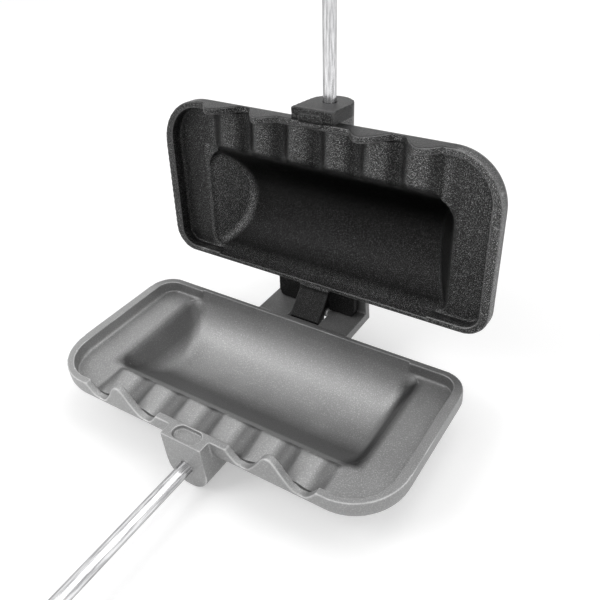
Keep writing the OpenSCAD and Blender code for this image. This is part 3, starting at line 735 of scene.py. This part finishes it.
# A tree that turns a line with a radius at each point into a lathe-turned piece
def turnedTree():
    tree = bpy.data.node_groups.new("turnedPiece", "GeometryNodeTree")
    sockets = (("Line", "INPUT", "Geometry"), ("Sides", "INPUT", "Int"), ("Finish", "INPUT", "Material"),
               ("Piece", "OUTPUT", "Geometry"))
    for label, way, kind in sockets:
        tree.interface.new_socket(label, in_out=way, socket_type="NodeSocket" + kind)
    ins, outs = addNode(tree, "NodeGroupInput"), addNode(tree, "NodeGroupOutput")
    ring = addNode(tree, "GeometryNodeCurvePrimitiveCircle")
    ring.inputs["Radius"].default_value = 1.0
    radius = addNode(tree, "GeometryNodeInputRadius")
    sweep = addNode(tree, "GeometryNodeCurveToMesh", Fill_Caps=True)
    smooth = addNode(tree, "GeometryNodeSetShadeSmooth")
    whole = addNode(tree, "GeometryNodeRealizeInstances")
    finish = addNode(tree, "GeometryNodeSetMaterial")
    join = tree.links.new
    join(ins.outputs["Sides"], ring.inputs["Resolution"])
    join(ins.outputs["Line"], sweep.inputs["Curve"])
    join(ring.outputs["Curve"], sweep.inputs["Profile Curve"])
    join(radius.outputs[0], sweep.inputs["Scale"])
    join(sweep.outputs[0], smooth.inputs[0])
    join(smooth.outputs[0], whole.inputs[0])
    join(whole.outputs[0], finish.inputs[0])
    join(ins.outputs["Finish"], finish.inputs["Material"])
    join(finish.outputs[0], outs.inputs[0])
    return tree


turned = turnedTree()

# Places along the shut rod, lengths and radii in millimetres, but merge in metres
handle = {
    "rodEnd": -37.6, "blockFace": -61.6, "free": 436.0, "rodRadius": 4.0, "intoNut": 4, "collar": 14.0,
    "collarWall": 0.9, "neck": 9.5, "grip": 122.0, "gripGap": 0.2, "sides": 64, "merge": 1e-7,
}
collarY = handle["blockFace"] - handle["free"]
gripStart = collarY - handle["collar"] / 2 - handle["gripGap"]
gripEnd = collarY - handle["collar"] / 2 - handle["grip"]


# Where a place along the shut rod, in millimetres, stands in metres
def rodLine(body, place):
    if body == "lower":
        return Vector((0, place, stand["parting"] - stand["rod"])) * mm
    above = stand["parting"] + stand["gap"] + stand["rod"] - stand["pivotZ"]
    return Vector((0, *aboutPivot(place - stand["pivotY"], above, -openTurn))) * mm


# A profile holds places along the rod and radii, in millimetres, from the shells outwards
def turnedPiece(name, body, profile, sides, finish, node):
    data = bpy.data.curves.new(name + "Line", "CURVE")
    data.dimensions = "3D"
    line = data.splines.new("POLY")
    line.points.add(len(profile) - 1)
    for point, (place, radius) in zip(line.points, profile):
        point.co = (*rodLine(body, place), 1)
        point.radius = radius * mm
    curve = link(bpy.data.objects.new(name + "Line", data))
    modifier = curve.modifiers.new("turned", "NODES")
    modifier.node_group = turned
    values = {"Sides": sides, "Finish": finish}
    for item in turned.interface.items_tree:
        if item.item_type == "SOCKET" and item.name in values:
            modifier[item.identifier] = values[item.name]
    graph = bpy.context.evaluated_depsgraph_get()
    mesh = bpy.data.meshes.new_from_object(curve.evaluated_get(graph))
    bpy.data.objects.remove(curve)
    piece = link(bpy.data.objects.new(name, mesh))
    mergePoints(mesh, handle["merge"], outward=True)
    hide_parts(node)
    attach(piece, body)


# Rounds a profile by cutting each of its corners off, a few times over
def softened(profile, passes, share=0.25):
    for _ in range(passes):
        rounded = [profile[0]]
        for (a, ra), (b, rb) in zip(profile, profile[1:]):
            rounded.append((a + (b - a) * share, ra + (rb - ra) * share))
            rounded.append((b - (b - a) * share, rb - (rb - ra) * share))
        rounded.append(profile[-1])
        profile = rounded
    return profile


# A rolled tube with a groove round it. Each step holds how far along it lies and how far in from the outside
ferruleShape = {
    "play": 0.1, "rolledEdge": ((0.1, 1.9), (1.9, 0.1)), "rearEdge": ((13.6, 0.1), (13.9, 0.4)),
    "groove": ((4.2, 0.1), (4.8, 0.7), (5.6, 0.7), (6.2, 0.1)),
}


def makeRod(body):
    ends = [(handle["rodEnd"], handle["rodRadius"]), (gripEnd - handle["intoNut"], handle["rodRadius"])]
    turnedPiece(body + "Rod", body, ends, handle["sides"], rodSteel[body], body + "_rod")


def makeFerrule(body, shape):
    outer = handle["neck"] + handle["collarWall"]
    steps = shape["rolledEdge"] + shape["groove"] + shape["rearEdge"]
    ferrule = [(collarY - shape["play"], handle["rodRadius"] + shape["play"])]
    ferrule += [(collarY - along, outer - inset) for along, inset in steps]
    turnedPiece(body + "Ferrule", body, ferrule, handle["sides"], ferruleSteel, body + "_collar")


# neckSteps: how far behind the grip's start and how far over the neck. swell: shares of its length and belly
gripShape = {
    "belly": 16.0, "neckSteps": ((6.4, 0.4), (8.2, 0.8)), "frontAt": 1, "frontIn": 0.2, "rearOver": 0.2,
    "swell": ((0.3, 0.78), (0.5, 0.8), (0.68, 0.94), (0.82, 1.0), (0.92, 0.97), (0.98, 0.84), (1.0, 0.7)),
    "swellOver": 1, "rounds": 3, "sides": 96,
}


def makeGrip(body, shape):
    neck, belly, length = handle["neck"], shape["belly"], handle["grip"]
    wood = [(gripStart - behind, neck + over) for behind, over in shape["neckSteps"]]
    wood += [(gripStart - length * at, belly * wide) for at, wide in shape["swell"]]
    front = (gripStart - shape["frontAt"], neck - shape["frontIn"])
    rear = (gripStart - length, handle["rodRadius"] + shape["rearOver"])
    smooth = [front] + softened(wood, shape["rounds"]) + [rear]
    # Rounding takes a little off the belly, so it is brought back to its full size
    regain = belly / max(radius for _, radius in smooth)
    thick = neck + shape["swellOver"]
    smooth = [(place, radius * (regain if radius > thick else 1)) for place, radius in smooth]
    turnedPiece(body + "Grip", body, smooth, shape["sides"], gripWood[body], body + "_grip")


# A cap nut with a short straight skirt and a dome. Names that end in Share are shares of its radius
nutShape = {
    "radius": 7.0, "length": 7.0, "gap": 0.4, "setIn": 0.02, "edge": 0.5, "boreOver": 0.5,
    "skirtShare": 0.3, "centreShare": 0.5, "domeShare": 0.97, "tipShare": 0.47, "tip": 0.3,
    "angles": (14, 24, 36, 48, 60, 72, 82),
}


def makeEndNut(body, shape):
    nut = shape["radius"]
    start = gripEnd - shape["gap"]
    back, far = start - shape["setIn"], start - shape["length"]
    skirt, dome = nut - shape["setIn"], nut * shape["domeShare"]
    centre = far + nut * shape["centreShare"]
    cap = [(back, handle["rodRadius"] + shape["boreOver"]), (back, nut - shape["edge"])]
    cap += [(start - shape["edge"], skirt), (far + nut * shape["skirtShare"], skirt)]
    cap += [(centre - dome * math.sin(t), dome * math.cos(t)) for t in np.radians(shape["angles"])]
    cap += [(far - nut * shape["tipShare"], shape["tip"])]
    turnedPiece(body + "EndNut", body, cap, handle["sides"], ferruleSteel, body + "_end_nut")


for bodyName in ("lower", "upper"):
    makeRod(bodyName)
    makeFerrule(bodyName, ferruleShape)
    makeGrip(bodyName, gripShape)
    makeEndNut(bodyName, nutShape)
print("handles made")
